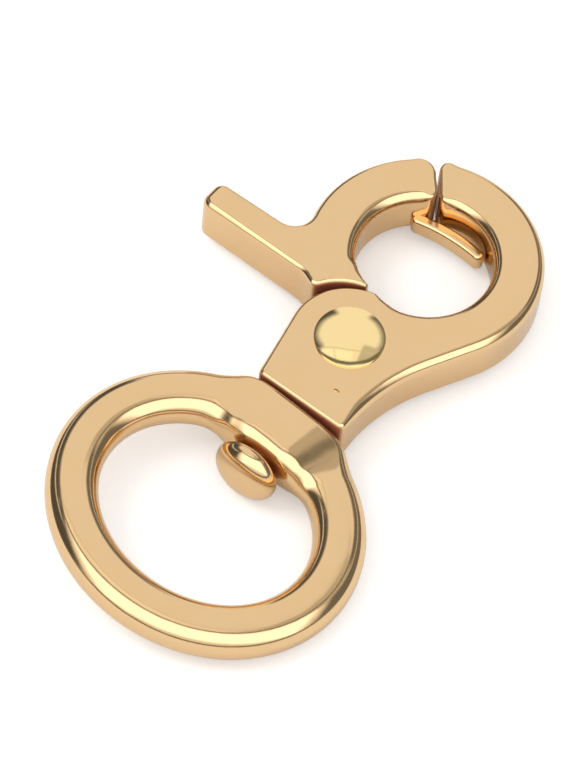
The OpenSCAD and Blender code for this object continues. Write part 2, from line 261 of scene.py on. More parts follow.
# The photograph's camera: the image's height, the view's tilt and heading in degrees, and its distance,
# the scale of a millimetre and the rivet's place about the middle of the view, in pixels. The lens is
# CLOSER times as long, so that the hook fills the frame.
PHOTO_H = 768
PHOTO_TILT = 56.85
PHOTO_HEADING = -40.4
PHOTO_DISTANCE = 2000.0
PHOTO_SCALE = 4.2
PHOTO_RIVET = np.array([191.65, 11.8, -12.5])
CLOSER = 2.35

# The heading and height of the camera as seen from the hook
VIEW_AZIMUTH = -58.0
VIEW_ELEVATION = 57.0

# Surroundings that the brass reflects: name, layout, two ranges in degrees, brightness, and the share
# of each side that fades out. A "round" card has angles from image right towards image up, then degrees
# away from the direction that flat faces reflect. A "flat" one has degrees to the right and degrees up
# from that direction. A "level" one is a round card about straight up.
CARD_GRID = (97, 17)
CARD_FAR = 0.7
CARD_STEP = 0.01
CARDS = (
    ("horizon", "level", (-180, 180), (78, 88.5), (0.16, 0.15, 0.14), (0, 0.30)),
    ("front_glow", "round", (-143, -31), (43, 100), (1.9, 1.95, 2.05), (0.08, 0.05)),
    ("left_dark", "round", (104, 217), (27, 98), (0.10, 0.105, 0.115), (0.08, 0.12)),
    ("left_streak", "round", (120, 214), (50, 57), (1.0, 1.0, 1.0), (0.2, 0.4)),
    ("right_grey", "round", (-32, 70), (29, 98), (0.20, 0.205, 0.21), (0.10, 0.12)),
    ("right_streak", "round", (-28, 60), (50, 56), (0.8, 0.8, 0.8), (0.2, 0.4)),
    ("window_patch", "flat", (-36, 8), (-36, -20.5), (1.15, 1.15, 1.1), (0.08, 0.12)),
    ("olive_patch", "flat", (13, 52), (-37, -7), (0.60, 0.60, 0.58), (0.10, 0.15)),
    ("window_bar", "flat", (-16, -13.5), (-35, -21), (0.8, 0.8, 0.75), (0.4, 0.1)),
    ("fold", "flat", (-50, 50), (-20.5, -17.5), (0.74, 0.71, 0.62), (0.05, 0.5)),
    ("frame", "round", (-200, 24), (36, 43), (0.16, 0.16, 0.15), (0.12, 0.30)),
)

# White table, and the glow that it adds for the camera and for reflections
TABLE_R = 0.9
TABLE_SIDES = 96
TABLE_WHITE = 0.86
GLOW_SEEN = 0.3
GLOW_MIRRORED = 0.04


def polar(centre, radius, angle):
    """Points at a radius and angles in degrees about a centre."""
    turn = np.radians(np.asarray(angle, float))
    return np.asarray(centre) + radius * np.stack([np.cos(turn), np.sin(turn)], -1)


def arc(centre, radius, start, end):
    """Points along a circular arc, about OUTLINE_STEP apart and at most 6 degrees apart."""
    sweep = abs(end - start)
    count = int(max(3, radius * math.radians(sweep) / OUTLINE_STEP, sweep / 6)) + 1
    return polar(centre, radius, np.linspace(start, end, count))


def blend(t):
    """Smooth step from 0 to 1: 3 t squared less 2 t cubed, with t held between 0 and 1."""
    s = np.clip(t, 0, 1)
    return s * s * (3 - 2 * s)


def corner(before, point, after, radius):
    """Arc of a given radius that rounds the corner at a point between its two neighbours."""
    before, point, after = (np.asarray(p, float) for p in (before, point, after))
    u = (before - point) / np.linalg.norm(before - point)
    v = (after - point) / np.linalg.norm(after - point)
    half = math.acos(u @ v) / 2
    centre = point + (u + v) / np.linalg.norm(u + v) * radius / math.sin(half)
    start = point + u * radius / math.tan(half) - centre
    end = point + v * radius / math.tan(half) - centre
    first = math.degrees(math.atan2(start[1], start[0]))
    turn = math.degrees(math.atan2(start[0] * end[1] - start[1] * end[0], start @ end))
    return arc(centre, radius, first, first + turn)


def crossing(radius, other, side):
    """Angle about the rivet at which a circle of one radius meets another circle about the eye."""
    d = np.linalg.norm(EYE_C)
    turn = math.acos((radius**2 - other**2 + d * d) / (2 * d * radius))
    return math.degrees(math.atan2(EYE_C[1], EYE_C[0]) + side * turn)


def closed_outline(runs):
    """Joins (points, edge share) runs into one closed outline with extra points on long sides.

    The share is averaged over a short stretch, so the edge rounding changes width gradually.
    """
    points = np.concatenate([run for run, share in runs])
    shares = np.concatenate([np.full(len(run), share) for run, share in runs])
    step = np.linalg.norm(points - np.roll(points, 1, 0), axis=1)
    points, shares = points[step > SAME_POINT], shares[step > SAME_POINT]
    loop = np.vstack([points, points[:1]])
    along = np.concatenate([[0], np.cumsum(np.linalg.norm(np.diff(loop, axis=0), axis=1))])
    extra = np.arange(0, along[-1], OUTLINE_STEP * 2)
    gap = np.abs(extra[:, None] - along[None]).min(1)
    at = np.sort(np.concatenate([along[:-1], extra[gap > OUTLINE_STEP * 0.7]]))
    even = np.linspace(0, along[-1], SHARE_SAMPLES, endpoint=False)
    level = np.interp(even, along, np.append(shares, shares[0]))
    window = np.hanning(SHARE_WINDOW)
    level = np.convolve(np.tile(level, 3), window / window.sum(), "same")[SHARE_SAMPLES:2 * SHARE_SAMPLES]
    share = np.interp(at, np.append(even, along[-1]), np.append(level, level[0]))
    x = np.interp(at, along, loop[:, 0])
    y = np.interp(at, along, loop[:, 1])
    return np.stack([x, y], 1), share


def outward(points):
    """Outward normals of a counter-clockwise outline, lengthened where it turns a corner."""
    ahead = np.roll(points, -1, 0) - points
    ahead /= np.linalg.norm(ahead, axis=1, keepdims=True)
    behind = np.roll(ahead, 1, 0)
    normal = np.stack([ahead[:, 1] + behind[:, 1], -ahead[:, 0] - behind[:, 0]], 1)
    normal /= np.linalg.norm(normal, axis=1, keepdims=True)
    side = np.stack([ahead[:, 1], -ahead[:, 0]], 1)
    return normal / np.maximum(MITRE_LIMIT, (normal * side).sum(1))[:, None]


def strips(rows, columns, close_rows=False):
    """Quads of a grid of points whose columns run round a closed loop."""
    i, j = np.meshgrid(np.arange(rows if close_rows else rows - 1), np.arange(columns), indexing="ij")
    a = i * columns + j
    b = i * columns + (j + 1) % columns
    c = (i + 1) % rows * columns + (j + 1) % columns
    d = (i + 1) % rows * columns + j
    return np.stack([a, b, c, d], -1).reshape(-1, 4)


def rounded_plate(outline, share, thickness, radius, middle=0.0):
    """Plate whose two long edges are quarter circles of radius times the outline's share.

    Each level insets the outline by e (1 - sin t) and drops it by e (1 - cos t) from the face.
    """
    t = np.radians(np.linspace(0, 90, EDGE_STEPS + 1))
    inset = np.concatenate([1 - np.sin(t), (1 - np.sin(t))[::-1]])
    drop = np.concatenate([1 - np.cos(t), (1 - np.cos(t))[::-1]])
    face = np.repeat([-1, 1], EDGE_STEPS + 1)
    edge = radius * share
    flat = outline[None] - (inset[:, None] * edge[None])[..., None] * outward(outline)[None]
    height = face[:, None] * (thickness / 2 - edge[None] * drop[:, None]) + middle
    points = np.concatenate([flat, height[..., None]], -1)
    count = len(outline)
    faces = strips(len(points), count).tolist()
    faces.append(list(range(count))[::-1])
    faces.append(list(range((len(points) - 1) * count, len(points) * count)))
    return points.reshape(-1, 3), faces


def revolved(profile, sides=128):
    """Surface of revolution about +Z: each (radius, height) point becomes a circle."""
    turn = np.linspace(0, 2 * np.pi, sides, endpoint=False)
    radius, height = np.asarray(profile, float).T
    x = radius[:, None] * np.cos(turn)
    y = radius[:, None] * np.sin(turn)
    z = np.broadcast_to(height[:, None], x.shape)
    points = np.stack([x, y, z], -1)
    return points.reshape(-1, 3), strips(len(points), sides).tolist()


def tube(path, diameter, sides=20):
    """Round wire: a circle carried along the path, square to it, with flat ends."""
    ahead = np.gradient(path, axis=0)
    ahead /= np.linalg.norm(ahead, axis=1, keepdims=True)
    across = np.stack([ahead[:, 1], -ahead[:, 0], np.zeros(len(path))], 1)
    across /= np.linalg.norm(across, axis=1, keepdims=True)
    up = np.cross(across, ahead)
    turn = np.linspace(0, 2 * np.pi, sides, endpoint=False)
    ring = np.cos(turn)[None, :, None] * across[:, None] - np.sin(turn)[None, :, None] * up[:, None]
    points = path[:, None] + diameter / 2 * ring
    faces = strips(len(path), sides).tolist()
    faces.append(list(range(sides))[::-1])
    faces.append(list(range((len(path) - 1) * sides, len(path) * sides)))
    return points.reshape(-1, 3), faces


def placed(points):
    """Millimetres about the rivet's axis into metres in the row frame."""
    return (np.asarray(points, float) + PIVOT) * MM


def solid(name, points, faces):
    """Closed mesh object with its doubles merged and its normals pointing out."""
    mesh = bpy.data.meshes.new(name)
    mesh.from_pydata(placed(points).tolist(), [], faces)
    work = bmesh.new()
    work.from_mesh(mesh)
    bmesh.ops.remove_doubles(work, verts=work.verts, dist=1e-7)
    bmesh.ops.recalc_face_normals(work, faces=work.faces)
    work.to_mesh(mesh)
    work.free()
    made = bpy.data.objects.new(name, mesh)
    bpy.context.scene.collection.objects.link(made)
    return made


def combine(target, tool, operation):
    """Joins a tool to a piece, or cuts it away, and removes the tool."""
    step = target.modifiers.new(operation, "BOOLEAN")
    step.operation = operation
    step.solver = "EXACT"
    step.object = tool
    graph = bpy.context.evaluated_depsgraph_get()
    mesh = bpy.data.meshes.new_from_object(target.evaluated_get(graph))
    target.modifiers.clear()
    target.data = mesh
    bpy.data.objects.remove(tool)


def round_cutter(radius, start, end, origin, along_y=False, sides=96):
    """Plain round cutter from start to end along Z, or along Y, through an origin."""
    points, faces = revolved([(0, start), (radius, start), (radius, end), (0, end)], sides)
    if along_y:
        points = points[:, [0, 2, 1]] * [1, 1, -1]
    return solid("cutter", points + np.asarray(origin, float), faces)


def paint_gap_tarnish_and_shade(piece, mask):
    """Stores how far each point of a piece lies in an unpolished gap, painted darker as tarnish and painted
    shade.

    The mask takes x, y, z in millimetres about the rivet's axis and gives 0 in the open to 1.
    """
    points = np.empty(len(piece.data.vertices) * 3)
    piece.data.vertices.foreach_get("co", points)
    x, y, z = (points.reshape(-1, 3) / MM - PIVOT).T
    below_face = blend((BODY_T / 2 - np.abs(z)) / CREVICE_FADE)
    depth = np.clip(mask(x, y, z), 0, 1) * below_face
    piece.data.attributes.new("gap_tarnish_and_shade", "FLOAT", "POINT").data.foreach_set("value", depth)
    return piece


def near_tip(x, y, end):
    """Painted shade of TIP_DARK on a tip's end face, at an angle about the eye, and 0 from CREVICE_FADE
    away from it.
    """
    distance = np.hypot(x - EYE_C[0], y - EYE_C[1])
    turn = np.arctan2(y - EYE_C[1], x - EYE_C[0]) - math.radians(end)
    across = np.abs(distance * np.sin(turn))
    beside = (distance > EYE_R - NEAR) & (distance < OUTER_R + NEAR) & (np.cos(turn) > 0)
    return TIP_DARK * beside * blend(1 - across / CREVICE_FADE)


def body_gaps(x, y, z):
    """Tarnish and painted shade: lower end, slot, arm's end face and the shoulder's side under the gate's
    heel.
    """
    r = np.hypot(x, y)
    turn = np.degrees(np.arctan2(y, x)) % 360
    low_end = blend(1 - (y + BASE_Y) / CREVICE_FADE)
    slot = (np.abs(z) < SLOT_H / 2 + TOUCH) & (r < HUB_R + NEAR)
    under = (turn > HEEL_FROM - HEEL_MARGIN) & (turn < HEEL_TO + HEEL_MARGIN / 2)
    heel = (np.abs(r - HUB_R) < NEAR) & under
    return np.maximum.reduce([low_end, slot, heel, near_tip(x, y, ARM_END)])


def gate_gaps(x, y, z):
    """Tarnish and painted shade: tongue, jaw's end face and the heel's side along the shoulder."""
    r = np.hypot(x, y)
    turn = np.degrees(np.arctan2(y, x)) % 360
    along = np.clip((turn - HEEL_FROM) / (HEEL_TO - HEEL_FROM), 0, 1)
    heel = blend(1 - (r - HUB_R - HEEL_GAP - HEEL_FLARE * along) / CREVICE_FADE)
    beside = (turn > GATE_SIDE) & (turn < HEEL_TO + HEEL_MARGIN)
    return np.maximum(heel * beside, near_tip(x, y, JAW_END))


def ring_gaps(x, y, z):
    """Tarnish and painted shade: boss's edge by the body and the stud's bore."""
    bore = (np.hypot(x - SWIVEL_X, z) < STUD_D / 2 + PIN_GAP + NEAR / 2) & (y > BOSS_LOW - NEAR)
    return np.maximum(blend(1 - (BOSS_TOP - y) / CREVICE_FADE), bore)


def stud_gaps(x, y, z):
    """Tarnish and painted shade: shank and the back of the button."""
    return blend(1 + (y - BUTTON_TOP) / (2 * CREVICE_FADE))


def open_all_round(x, y, z):
    """No gaps."""
    return np.zeros(len(x))


def finish_surface(piece):
    """Smooth shading, split where the surface turns a real edge, with flat faces kept flat."""
    piece.data.shade_smooth()
    piece.data.set_sharp_from_angle(angle=SHARP_ANGLE)
    weighted = piece.modifiers.new("flat faces", "WEIGHTED_NORMAL")
    weighted.keep_sharp = True
    weighted.weight = FLAT_WEIGHT


def tip_corner(radius, distance, angle, start, end):
    """Rounded corner of a tip, about the point at a distance and angle from the eye's middle."""
    return arc(polar(EYE_C, distance, angle), radius, start, end)


def turn_of(radius, distance):
    """Angle at the eye's middle that a tip corner of this radius takes up."""
    return math.degrees(math.asin(radius / distance))


def body_outline():
    """Body seen from above: lower end, hollow flank, arm, tip, eye and round shoulder."""
    notch = crossing(HUB_R, EYE_R, 1)
    toward = polar([0, 0], HUB_R, notch) - EYE_C
    inner = math.degrees(math.atan2(toward[1], toward[0]))
    low_left = np.array([BASE_LEFT, -BASE_Y])
    low_right = np.array([BASE_RIGHT, -BASE_Y])
    reach = np.linalg.norm(low_left)
    shoulder = 360 + math.degrees(math.atan2(low_left[1], low_left[0]) - math.acos(HUB_R / reach))
    onto = polar(EYE_C, OUTER_R, -FLANK_ANGLE)
    slope = math.radians(FLANK_ANGLE)
    flank_x = BASE_RIGHT + FLANK_R
    flank_y = onto[1] + (math.cos(slope) * (flank_x - onto[0]) - FLANK_R) / math.sin(slope)
    out_turn = turn_of(TIP_R, OUTER_R - TIP_R)
    in_turn = turn_of(TIP_R, EYE_R + TIP_R)
    out_end, in_end = ARM_END + TIP_SKEW_OUT, ARM_END + TIP_SKEW_IN
    return closed_outline([
        (corner(polar([0, 0], HUB_R, shoulder), low_left, low_right, BASE_CORNER), BASE_EDGE),
        (corner(low_left, low_right, [BASE_RIGHT, 0], BASE_CORNER), BASE_EDGE),
        (arc([flank_x, flank_y], FLANK_R, 180, 180 - FLANK_ANGLE), ARM_EDGE),
        (arc(EYE_C, OUTER_R, -FLANK_ANGLE, out_end - out_turn), ARM_EDGE),
        (tip_corner(TIP_R, OUTER_R - TIP_R, out_end - out_turn, out_end - out_turn, out_end + 90),
         TIP_EDGE),
        (tip_corner(TIP_R, EYE_R + TIP_R, in_end - in_turn, in_end + 90, in_end + 180 - in_turn),
         TIP_EDGE),
        (arc(EYE_C, EYE_R, in_end - in_turn, inner + 3 * WEDGE), EYE_EDGE),
        (arc(EYE_C, EYE_R, inner + 3 * WEDGE, inner + WEDGE), 1),
        (arc([0, 0], HUB_R, notch, notch + WEDGE), NOTCH_EDGE),
        (arc([0, 0], HUB_R, notch + WEDGE, shoulder), SHOULDER_EDGE),
    ])


def slot_outline(radius, first, last, reach, bulge):
    """A disc about the rivet with a wedge that opens outwards between two angles."""
    middle = (first + last) / 2
    reaches = np.array([[reach], [reach * bulge], [reach]])
    wedge = polar([0, 0], reaches, [first, middle, last])
    return np.concatenate([arc([0, 0], radius, last, first + 360), wedge])


def make_body():
    """Cast body with the arm, the slot between its cheeks, the rivet's bore and the stud's hole."""
    outline, share = body_outline()
    body = solid("body_casting", *rounded_plate(outline, share, BODY_T, EDGE_R))
    slot = slot_outline(SLOT_R, SLOT_FROM, SLOT_TO, SLOT_REACH, SLOT_BULGE)
    combine(body, solid("cutter", *rounded_plate(slot, np.zeros(len(slot)), SLOT_H, 0)), "DIFFERENCE")
    combine(body, round_cutter(RIVET_D / 2 + PIN_GAP, -BODY_T, BODY_T, [0, 0, 0]), "DIFFERENCE")
    hole = round_cutter(STUD_D / 2, -BASE_Y - 1, -BASE_Y + STUD_DEPTH, [SWIVEL_X, 0, 0], along_y=True)
    combine(body, hole, "DIFFERENCE")
    t = np.linspace(0, np.pi, 13)
    nick, faces = revolved(np.stack([np.sin(t), -np.cos(t)], 1), 24)
    combine(body, solid("cutter", nick * NICK_SIZE + NICK_AT, faces), "DIFFERENCE")
    return body


def gate_outline():
    """Gate seen from above: jaw, hollow, thumb lever and the heel that follows the shoulder."""
    near = HUB_R + HEEL_GAP
    toward = polar([0, 0], near, crossing(near, EYE_R, 1) + 2) - EYE_C
    inner = math.degrees(math.atan2(toward[1], toward[0])) + 360
    root = inner - np.array(JAW_ROOT)
    hollow_y = LEVER_TOP + LEVER_FILLET
    hollow_x = EYE_C[0] - math.sqrt((OUTER_R + LEVER_FILLET) ** 2 - (hollow_y - EYE_C[1]) ** 2)
    onto = math.degrees(math.atan2(EYE_C[1] - hollow_y, EYE_C[0] - hollow_x))
    out_turn = turn_of(JAW_TIP_R, OUTER_R - JAW_TIP_R)
    in_turn = turn_of(TIP_R, EYE_R + TIP_R)
    out_end, in_end = JAW_END + TIP_SKEW_OUT, JAW_END + TIP_SKEW_IN
    low_left = np.array([-LEVER_REACH, LEVER_LOW])
    top_left = np.array([-LEVER_REACH, LEVER_TOP])
    s = np.linspace(0, 1, HEEL_STEPS + 1)
    heel = polar([0, 0], (near + HEEL_FLARE * s)[:, None], HEEL_FROM + (HEEL_TO - HEEL_FROM) * s)
    heel_low = heel[-1]
    knee = np.array([heel_low[0] - KNEE_BACK, LEVER_LOW])
    low, narrow, end = HEEL_SPLITS
    return closed_outline([
        (polar(EYE_C, EYE_R, root[:1]), NOTCH_EDGE),
        (polar(EYE_C, EYE_R, root[1:2]), 2 * NOTCH_EDGE),
        (arc(EYE_C, EYE_R, root[2], root[3]), 1),
        (arc(EYE_C, EYE_R, root[3], in_end + in_turn), JAW_EDGE),
        (tip_corner(TIP_R, EYE_R + TIP_R, in_end + in_turn, in_end + in_turn + 180, in_end + 270),
         TIP_EDGE),
        (tip_corner(JAW_TIP_R, OUTER_R - JAW_TIP_R, out_end + out_turn, out_end + 270,
                    out_end + out_turn + 360), TIP_EDGE),
        (arc(EYE_C, OUTER_R, out_end + out_turn, 180 + onto), 1),
        (arc([hollow_x, hollow_y], LEVER_FILLET, onto, -90), 1),
        (corner([0, LEVER_TOP], top_left, low_left, LEVER_TIP_R), LEVER_EDGE),
        (corner(top_left, low_left, [0, LEVER_LOW], LEVER_TIP_R), LEVER_EDGE),
        (corner(low_left, knee, heel_low, KNEE_R), 1),
        (corner(knee, heel_low, heel[low], HEEL_CORNER), HEEL_EDGE),
        (heel[low:narrow:-1], HEEL_EDGE),
        (heel[narrow:end:-1], NOTCH_EDGE),
    ])


def lip_outline():
    """Curved finger along the inside of the arm, with half-round ends."""
    corner_at = polar(EYE_C, EYE_R + TIP_R, ARM_END - turn_of(TIP_R, EYE_R + TIP_R))
    middle = np.linalg.norm(corner_at) - TIP_R - LIP_GAP - LIP_W / 2
    end = crossing(middle, EYE_R - LIP_W / 2 - LIP_END_GAP, -1)
    at = polar(EYE_C, EYE_R + LIP_ROOT_IN, LIP_ROOT)
    root = math.degrees(math.atan2(at[1], at[0]))
    return np.concatenate([
        arc([0, 0], middle + LIP_W / 2, end, root),
        arc(polar([0, 0], middle, root), LIP_W / 2, root, root + 180)[1:-1],
        arc([0, 0], middle - LIP_W / 2, root, end),
        arc(polar([0, 0], middle, end), LIP_W / 2, end + 180, end + 360)[1:-1],
    ])


def make_gate():
    """Cast gate: jaw and lever, with the tongue in the slot and the lip inside the arm."""
    outline, share = gate_outline()
    gate = solid("gate_casting", *rounded_plate(outline, share, BODY_T, EDGE_R))
    reach = HUB_R + HEEL_GAP + HEEL_FLARE + NECK_REACH
    tongue = slot_outline(DISC_R, NECK_FROM + NECK_LEAD, NECK_TO, reach, NECK_BULGE)
    plate = rounded_plate(tongue, np.zeros(len(tongue)), TONGUE_T, 0, TONGUE_Z + TONGUE_T / 2)
    combine(gate, solid("cutter", *plate), "UNION")
    lip, lip_share = closed_outline([(lip_outline(), 1)])
    finger = rounded_plate(lip, lip_share, LIP_H, LIP_EDGE, LIP_Z + LIP_H / 2)
    combine(gate, solid("cutter", *finger), "UNION")
    combine(gate, round_cutter(RIVET_D / 2 + PIN_GAP, -BODY_T, BODY_T, [0, 0, 0]), "DIFFERENCE")
    return gate


def make_rivet():
    """Rivet: a shank with a low dome on each face, which falls by rise (r / R)^DOME_POWER to a rim."""
    rise = HEAD_H - HEAD_RIM
    r = np.linspace(0, HEAD_D / 2 - DOME_END, 40)
    dome = np.stack([r, BODY_T / 2 + HEAD_H - rise * (2 * r / HEAD_D) ** DOME_POWER], 1)
    turn = np.radians(np.linspace(70, 0, 6))
    middle = np.array([HEAD_D / 2, BODY_T / 2 + HEAD_RIM]) - HEAD_CORNER
    edge = middle + HEAD_CORNER * np.stack([np.cos(turn), np.sin(turn)], 1)
    upper = np.concatenate([dome, edge, [[HEAD_D / 2, BODY_T / 2], [RIVET_D / 2, BODY_T / 2]]])
    profile = np.concatenate([upper, upper[::-1] * [1, -1]])
    return solid("rivet", *revolved(profile[::-1]))


def make_spring():
    """Torsion spring: a level helix about the rivet with a straight leg at each end."""
    last = COIL_FROM + 360 * SPRING_TURNS
    angle = np.linspace(COIL_FROM, last, 72 * SPRING_TURNS + 1)
    flat = polar([0, 0], COIL_R, angle)
    height = COIL_Z + COIL_PITCH * (angle - COIL_FROM) / 360
    coil = np.column_stack([flat, height])
    turn_in, turn_out = math.radians(COIL_FROM), math.radians(last)
    way_in = np.array([math.sin(turn_in), -math.cos(turn_in), 0])
    way_out = np.array([-math.sin(turn_out), math.cos(turn_out), 0])
    leg = np.linspace(LEG_L, 0.3, 7)[:, None]
    path = np.concatenate([coil[0] + leg * way_in, coil, coil[-1] + leg[::-1] * way_out])
    return solid("spring_coil", *tube(path, WIRE_D))


def make_stud():
    """Swivel stud: a barrel-shaped button, the shank through the boss and the end in the body.

    Each half of the barrel is a superellipse: (r / R)^n + (1 - depth / half)^n = 1.
    """
    t = np.radians(np.linspace(0, 90, 32))
    reach = BUTTON_D / 2 * np.sin(t) ** (2 / BUTTON_SHAPE)
    rise = 1 - np.cos(t) ** (2 / BUTTON_SHAPE)
    front = np.stack([reach, BUTTON_FRONT * rise], 1)
    back = np.stack([reach, BUTTON_L - (BUTTON_L - BUTTON_FRONT) * rise], 1)[::-1]
    back = back[back[:, 0] > STUD_D / 2 + 0.1]
    end = BUTTON_L - BUTTON_TOP - BASE_Y + STUD_DEPTH
    profile = np.concatenate([front, back[1:], [[STUD_D / 2, BUTTON_L], [STUD_D / 2, end], [0, end]]])
    points, faces = revolved(profile)
    points = points[:, [0, 2, 1]] * [1, 1, -1]
    return solid("stud", points + [SWIVEL_X, BUTTON_TOP - BUTTON_L, 0], faces)


def boss_line(x):
    """Boss's outer edge at a distance x from the swivel axis, measured from the ring's middle.

    Straight, then bent over twice SHOULDER_R, then sloping until it touches the outer oval at x
    = touch. Returns the edge and that distance.
    """
    edge_y = BOSS_TOP - RING_C[1]
    end = np.array([BOSS_HALF / RING_HALF_W, edge_y / RING_HALF_L])
    at = math.atan2(*end) + math.acos(1 / np.linalg.norm(end))
    touch = RING_HALF_W * math.sin(at)
    slope = (edge_y - RING_HALF_L * math.cos(at)) / (touch - BOSS_HALF)
    s = np.maximum(0, x - BOSS_HALF + SHOULDER_R)
    bent = np.where(s < 2 * SHOULDER_R, s * s / (4 * SHOULDER_R), s - SHOULDER_R)
    return edge_y - slope * bent, touch


def ring_surface():
    """Ring: a rounded box carried between its two outlines, with the boss by the body.

    At each angle the section runs from the inner oval to the outer oval or the boss's edge. The
    boss's flat wall cuts the inner oval off, and y = (a + b - hypot(a - b, WALL_BLEND)) / 2 joins
    the two. The crown share raises the top to the body's, and the near share gives it the boss's
    edges. The corner above the wall is a quarter of an ellipse.
    """
    angle = np.linspace(0, 2 * np.pi, 720, endpoint=False)
    side = np.stack([np.sin(angle), np.cos(angle)], 1)
    oval_in = side * [RING_IN_W / 2, RING_IN_L / 2]
    oval_out = side * [RING_HALF_W, RING_HALF_L]
    x = np.where(side[:, 1] > 0, np.abs(oval_out[:, 0]), RING_HALF_W)
    edge, touch = boss_line(x)
    wall = BOSS_LOW - RING_C[1]
    inner_y = (oval_in[:, 1] + wall - np.hypot(oval_in[:, 1] - wall, WALL_BLEND)) / 2
    inner = np.stack([oval_in[:, 0], inner_y], 1)
    outer = np.stack([oval_out[:, 0], np.where(x < touch, edge, oval_out[:, 1])], 1)
    width = np.linalg.norm(outer - inner, axis=1)
    way = (outer - inner) / width[:, None]
    crown = 1 - blend((x - CROWN_HALF) / BOSS_SLOPE)
    near = 1 - blend((x - BOSS_HALF) / EDGE_BLEND)
    h = (BAR_H + crown * (BODY_T - BAR_H))[:, None] / 2
    r = (BAR_EDGE + near * (BOSS_EDGE - BAR_EDGE))[:, None]
    in_x = (BAR_EDGE + near * (WALL_EDGE - BAR_EDGE) + oval_in[:, 1] - inner[:, 1])[:, None]
    in_z = (BAR_EDGE + crown * (BORE_EDGE - BAR_EDGE))[:, None]
    t = np.radians(np.linspace(0, 90, EDGE_STEPS + 3))
    sin, cos = np.sin(t), np.cos(t)
    out = width[:, None] - r
    across = np.concatenate([out + r * sin, out + r * cos, in_x * (1 - sin), in_x * (1 - cos)], 1)
    top, low = h - r + r * cos, r - h - r * sin
    low_in, top_in = in_z - h - in_z * cos, h - in_z + in_z * sin
    height = np.concatenate([top, low, low_in, top_in], 1)
    flat = RING_C + inner[:, None] + way[:, None] * across[..., None]
    points = np.concatenate([flat, height[..., None]], -1)
    return points.reshape(-1, 3), strips(*points.shape[:2], close_rows=True).tolist()


def make_ring():
    """Cast ring, leaning about the swivel axis, with the stud's hole through its boss."""
    points, faces = ring_surface()
    hole, hole_faces = revolved([(0, -1), (STUD_D / 2 + PIN_GAP, -1), (STUD_D / 2 + PIN_GAP, BOSS_L + 1),
                                 (0, BOSS_L + 1)], 96)
    hole = hole[:, [0, 2, 1]] * [1, 1, -1] + [SWIVEL_X, BOSS_LOW, 0]
    lean = np.array([[math.cos(RING_LEAN), 0, math.sin(RING_LEAN)], [0, 1, 0],
                     [-math.sin(RING_LEAN), 0, math.cos(RING_LEAN)]])
    axis = np.array([SWIVEL_X, 0, 0])
    ring = solid("ring_casting", (points - axis) @ lean.T + axis, faces)
    combine(ring, solid("cutter", (hole - axis) @ lean.T + axis, hole_faces), "DIFFERENCE")
    return ring


def linear(red, green, blue):
    """An sRGB colour from 0 to 255 as the linear values that a shader takes."""
    c = np.array([red, green, blue]) / 255
    return (*np.where(c <= 0.04045, c / 12.92, ((c + 0.055) / 1.055) ** 2.4), 1)


